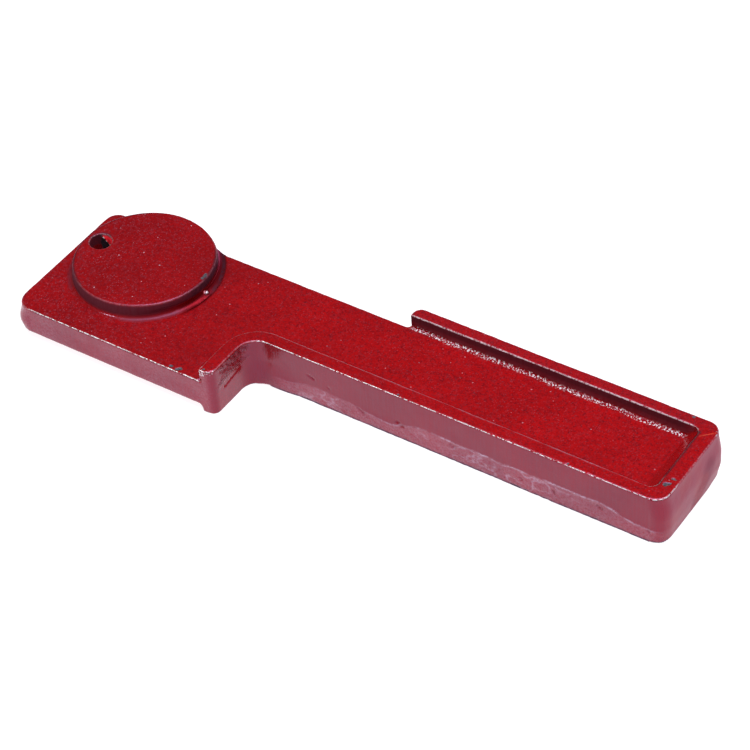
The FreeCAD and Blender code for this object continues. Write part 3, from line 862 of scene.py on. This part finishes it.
    normal = None
    for height, depth in (
        (broad, 0.35),
        (n.times(coarse, n.noise(1.3, 4, 0.65)), 0.30),
        (n.times(torn, ripped), 0.45),
        (beads_and_sparkle, 0.10),
        (n.times(handle_side, streaks), 0.012),
        (n.noise(2.4, 2), 0.06),
        (n.times(grain, flat), 0.05),
    ):
        normal = n.bump(height, depth, normal)
    n.set("Normal", normal)
    return n.material


def turned(name, colour, roughness, ring=0.35):
    """Turned metal: fine rings about the socket's axis."""
    n = Nodes(name)
    flat = n.tree.nodes.new("ShaderNodeCombineXYZ")
    n.join(n.part(n.place, "X"), flat.inputs[0])
    n.join(n.part(n.place, "Y"), flat.inputs[1])
    length = n.tree.nodes.new("ShaderNodeVectorMath")
    length.operation = "LENGTH"
    n.join(flat.outputs[0], length.inputs[0])
    rings = n.math("SINE", n.times(length.outputs["Value"], 2 * math.pi / (ring * MM)))
    tarnish = n.noise(6, 4, 0.6)
    dark = tuple(0.72 * part for part in colour)
    n.set("Base Color", n.mix(n.ramp(tarnish, 0.35, 0.7), colour, dark))
    n.set("Metallic", 1.0)
    n.set("Roughness", n.ramp(tarnish, 0.3, 0.7, roughness, roughness + 0.14))
    n.set("Normal", n.bump(n.noise(0.5, 2), 0.008, n.bump(rings, 0.012)))
    return n.material


def rubber():
    n = Nodes("black_rubber")
    dusty = n.ramp(n.noise(2.5, 3), 0.4, 0.7)
    n.set("Base Color", n.mix(dusty, (0.018, 0.018, 0.019), (0.035, 0.034, 0.034)))
    n.set("Roughness", n.ramp(n.noise(1.2, 2), 0.3, 0.7, 0.45, 0.62))
    n.set("Normal", n.bump(n.noise(0.35, 2), 0.01))
    return n.material


def backdrop_paint():
    n = Nodes("backdrop")
    n.set("Base Color", (0.34, 0.34, 0.34))
    n.set("Roughness", 1.0)
    n.set("Specular IOR Level", 0.0)
    n.set("Emission Color", (1.0, 0.97, 1.0))
    n.set("Emission Strength", 0.9)
    return n.material


def dress(piece, material):
    piece.data.materials.clear()
    piece.data.materials.append(material)


# ---------------------------------------------------------------- the object

casting = cast_skin()
dress(casting, enamel())
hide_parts("wrench_casting")
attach(casting, "root")

stainless = turned("stainless", (0.60, 0.60, 0.59), 0.24)
brass = turned("brass", (0.72, 0.50, 0.20), 0.26)
for node, material in (
    ("magnet_cup", turned("soft_steel", (0.42, 0.43, 0.45), 0.34)),
    ("ring_magnet", turned("nickel_plate", (0.62, 0.59, 0.54), 0.18)),
    ("magnet_spacer", brass),
    ("centre_bush", brass),
    ("cover_seal", rubber()),
    ("magnet_cover", stainless),
    ("cover_screw", stainless),
):
    piece = frame["nodes"][node]
    if not piece.material_slots:
        piece.data.materials.append(material)
    for slot in piece.material_slots:
        slot.material = material


# ---------------------------------------------------------------- floor, light and camera

FLOOR_REACH = 6.0
CAMERA_AIM = (0.1232, 0.0093, 0.0)
CAMERA_AZIMUTH, CAMERA_ELEVATION, CAMERA_ROLL = 36.47, 42.77, -4.55     # degrees
CAMERA_DISTANCE = 1.2381
LENS_MM, SENSOR_MM = 128.7, 36


def floor():
    far = FLOOR_REACH
    mesh = bpy.data.meshes.new("floor")
    mesh.from_pydata([(-far, -far, 0), (far, -far, 0), (far, far, 0), (-far, far, 0)], [], [(0, 1, 2, 3)])
    piece = bpy.data.objects.new("floor", mesh)
    bpy.context.scene.collection.objects.link(piece)
    dress(piece, backdrop_paint())


def area_light(name, place, target, size, power, colour):
    """Soft square light, aimed from place at target."""
    lamp = bpy.data.lights.new(name, "AREA")
    lamp.shape = "RECTANGLE"
    lamp.size = lamp.size_y = size
    lamp.energy = power
    lamp.color = colour
    holder = bpy.data.objects.new(name, lamp)
    holder.location = place
    holder.rotation_euler = (Vector(target) - Vector(place)).to_track_quat("-Z", "Y").to_euler()
    bpy.context.scene.collection.objects.link(holder)


def camera(aim, azimuth, elevation, roll, distance):
    """Camera on a sphere about aim. Azimuth 0 looks along +Y. A positive roll tips the view clockwise."""
    turn, lift = math.radians(azimuth), math.radians(elevation)
    back = Vector((math.sin(turn) * math.cos(lift), -math.cos(turn) * math.cos(lift), math.sin(lift)))
    right = Vector((0, 0, 1)).cross(back).normalized()
    up = back.cross(right)
    tip = math.radians(roll)
    tipped_right = right * math.cos(tip) + up * math.sin(tip)
    tipped_up = back.cross(tipped_right)
    data = bpy.data.cameras.new("camera")
    data.lens = LENS_MM
    data.sensor_width = SENSOR_MM
    data.clip_end = 50
    data.dof.use_dof = False
    holder = bpy.data.objects.new("camera", data)
    axes = Matrix((tipped_right, tipped_up, back)).transposed()
    holder.matrix_world = Matrix.Translation(Vector(aim) + back * distance) @ axes.to_4x4()
    bpy.context.scene.collection.objects.link(holder)
    bpy.context.scene.camera = holder


def world(strength, colour):
    made = bpy.data.worlds.new("studio")
    made.use_nodes = True
    sky = made.node_tree.nodes["Background"]
    sky.inputs["Color"].default_value = (*colour, 1)
    sky.inputs["Strength"].default_value = strength
    bpy.context.scene.world = made


floor()
world(0.05, (1.0, 1.0, 1.0))
area_light("overhead", (0.45, 0.05, 2.2), (0.15, 0, 0), 2.0, 70, (1.0, 0.94, 1.05))
area_light("edge_light", (-0.55, -0.9, 1.05), (0.12, 0, 0), 0.22, 5, (1.0, 1.15, 1.0))
camera(CAMERA_AIM, CAMERA_AZIMUTH, CAMERA_ELEVATION, CAMERA_ROLL, CAMERA_DISTANCE)

look = bpy.context.scene.view_settings
look.view_transform = "Standard"
look.look = "None"
